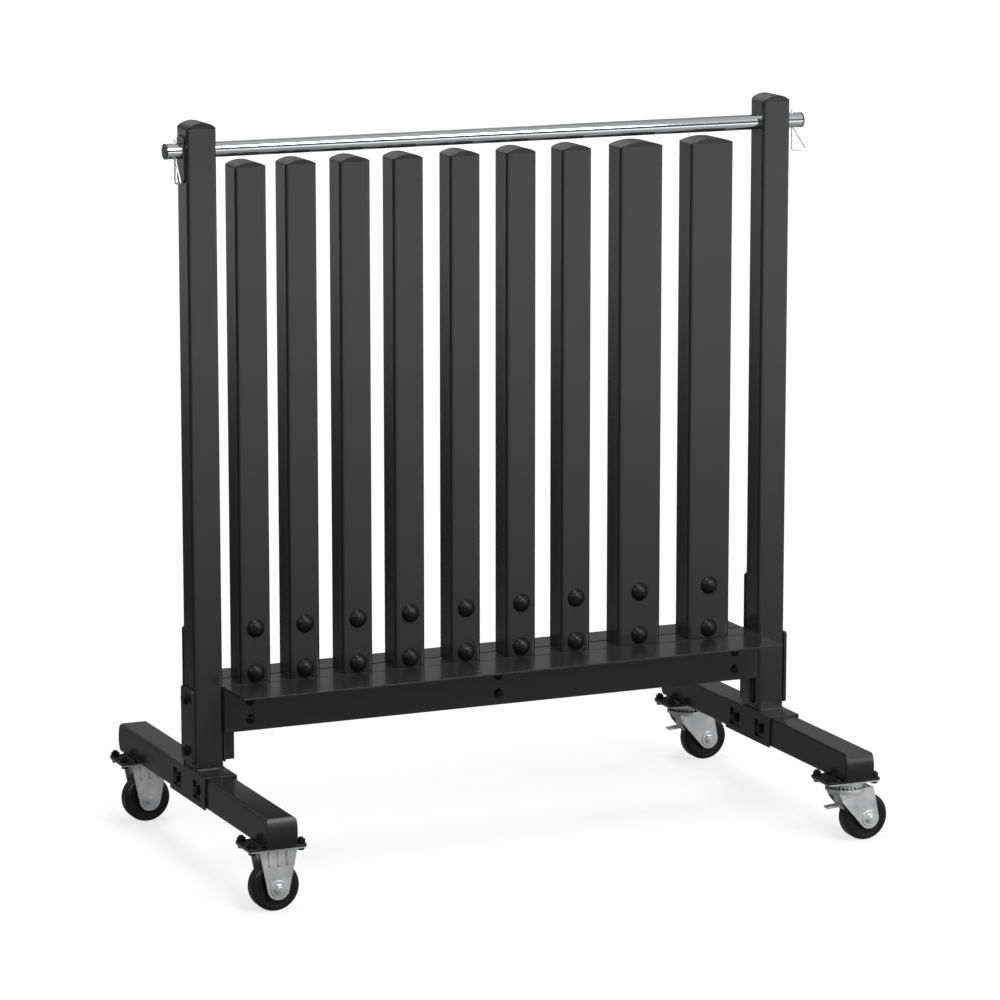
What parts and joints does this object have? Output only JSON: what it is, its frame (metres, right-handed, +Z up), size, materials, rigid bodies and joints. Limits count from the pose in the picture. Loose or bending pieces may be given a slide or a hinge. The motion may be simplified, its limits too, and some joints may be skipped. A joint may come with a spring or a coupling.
{
  "type": "wheeled divider rack",
  "caption": "Black steel rack on castors: a shelf beam with a row of upright divider posts between two T-footed uprights, and a round bar across the top held by wire clips.",
  "frame": {"origin": "on the floor, under the middle of the whole outline", "axes": "+X along the rack from the fixed castors to the swivel castors, -Y towards the front, +Z up"},
  "size_m": [1.1476, 0.6998, 1.214],
  "materials": {
    "black_steel": "satin black powder coat",
    "black_cap": "satin moulded black",
    "black_fastener": "black coated screws and bolts",
    "zinc": "bright zinc plated pressed steel",
    "chrome": "polished chrome",
    "tyre": "semi-gloss black rubber",
    "hub": "satin black plastic"
  },
  "bodies": {
    "frame": {"left_upright": "black_steel", "right_upright": "black_steel", "upright_caps": "black_cap", "bar_plates": "black_steel", "left_saddle": "black_steel", "right_saddle": "black_steel", "left_foot": "black_steel", "right_foot": "black_steel", "foot_caps": "black_cap", "saddle_bolts": "black_fastener", "beam": "black_steel", "front_angle": "black_steel", "rear_angle": "black_steel", "left_end_bracket": "black_steel", "right_end_bracket": "black_steel", "left_clamp_plate": "black_steel", "right_clamp_plate": "black_steel", "clamp_bolts": "black_fastener", "hex_nuts": "zinc", "rear_plates": "black_steel", "shelf_screws": "black_fastener", "shelf_nuts": "zinc", "post_1": "black_steel", "post_2": "black_steel", "post_3": "black_steel", "post_4": "black_steel", "post_5": "black_steel", "post_6": "black_steel", "post_7": "black_steel", "post_8": "black_steel", "post_9": "black_steel", "post_caps": "black_cap", "post_lugs": "black_steel", "dome_bolts": "black_fastener", "castor_plates": "black_steel", "castor_bolts": "black_fastener", "castor_nuts": "black_fastener", "fixed_forks": "zinc", "fixed_axles": "zinc", "swivel_plates": "zinc", "race_balls": "chrome"},
    "bar": {"top_bar": "chrome", "bar_plugs": "black_cap"},
    "left_clip": {"left_clip": "zinc"},
    "right_clip": {"right_clip": "zinc"},
    "left_front_wheel": {"left_front_tyre": "tyre", "left_front_hub": "hub"},
    "left_rear_wheel": {"left_rear_tyre": "tyre", "left_rear_hub": "hub"},
    "right_front_wheel": {"right_front_tyre": "tyre", "right_front_hub": "hub"},
    "right_rear_wheel": {"right_rear_tyre": "tyre", "right_rear_hub": "hub"},
    "right_front_swivel": {"right_front_fork": "zinc", "right_front_axle": "zinc"},
    "right_front_pedal": {"right_front_pedal": "zinc"},
    "right_rear_swivel": {"right_rear_fork": "zinc", "right_rear_axle": "zinc"},
    "right_rear_pedal": {"right_rear_pedal": "zinc"}
  },
  "joints": [
    {"name": "bar_turn", "type": "hinge", "parent": "frame", "child": "bar", "pos_m": [0, 0, 1.168], "axis": [1, 0, 0], "continuous": true},
    {"name": "left_clip_pull", "type": "slide", "parent": "bar", "child": "left_clip", "axis": [0, 0, -1], "range_m": [0, 0.034]},
    {"name": "right_clip_pull", "type": "slide", "parent": "bar", "child": "right_clip", "axis": [0, 0, -1], "range_m": [0, 0.034]},
    {"name": "left_front_wheel_spin", "type": "hinge", "parent": "frame", "child": "left_front_wheel", "pos_m": [-0.51625, -0.298, 0.04], "axis": [0, 1, 0], "continuous": true},
    {"name": "left_rear_wheel_spin", "type": "hinge", "parent": "frame", "child": "left_rear_wheel", "pos_m": [-0.51625, 0.298, 0.04], "axis": [0, 1, 0], "continuous": true},
    {"name": "right_front_swivel_turn", "type": "hinge", "parent": "frame", "child": "right_front_swivel", "pos_m": [0.50075, -0.298, 0.09], "axis": [0, 0, 1], "continuous": true},
    {"name": "right_front_wheel_spin", "type": "hinge", "parent": "right_front_swivel", "child": "right_front_wheel", "pos_m": [0.53375, -0.298, 0.04], "axis": [0, 1, 0], "continuous": true},
    {"name": "right_front_pedal_press", "type": "hinge", "parent": "right_front_swivel", "child": "right_front_pedal", "pos_m": [0.48575, -0.298, 0.0799], "axis": [0, -1, 0], "range_deg": [0, 7]},
    {"name": "right_rear_swivel_turn", "type": "hinge", "parent": "frame", "child": "right_rear_swivel", "pos_m": [0.50075, 0.298, 0.09], "axis": [0, 0, 1], "continuous": true},
    {"name": "right_rear_wheel_spin", "type": "hinge", "parent": "right_rear_swivel", "child": "right_rear_wheel", "pos_m": [0.53375, 0.298, 0.04], "axis": [0, 1, 0], "continuous": true},
    {"name": "right_rear_pedal_press", "type": "hinge", "parent": "right_rear_swivel", "child": "right_rear_pedal", "pos_m": [0.48575, 0.298, 0.0799], "axis": [0, -1, 0], "range_deg": [0, 7]}
  ]
}
